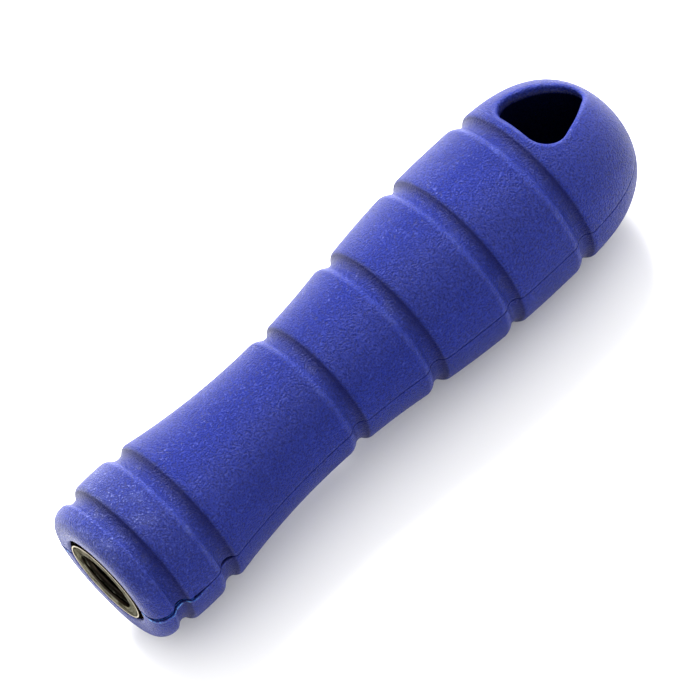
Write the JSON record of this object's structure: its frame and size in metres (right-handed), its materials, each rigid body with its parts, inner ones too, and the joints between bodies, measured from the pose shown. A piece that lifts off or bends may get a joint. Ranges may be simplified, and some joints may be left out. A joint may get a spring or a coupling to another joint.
{
  "type": "file handle",
  "caption": "Screw-on handle for a hand file: grooved plastic half shells welded around a knurled, threaded steel insert, with a rounded-triangle hang hole through the butt.",
  "frame": {"origin": "centre of the threaded bore, where its countersink ends, 0.6 mm behind the nose", "axes": "+X out of the nose toward the file, Z along the hang hole, the shells' seam in the XY plane"},
  "size_m": [0.12, 0.0326, 0.0326],
  "materials": {
    "blue_plastic": "spark-eroded grain, matte",
    "dark_steel": "turned and knurled, darkened"
  },
  "bodies": {
    "root": {"upper_shell": "blue_plastic", "lower_shell": "blue_plastic", "threaded_insert": "dark_steel"}
  },
  "joints": []
}
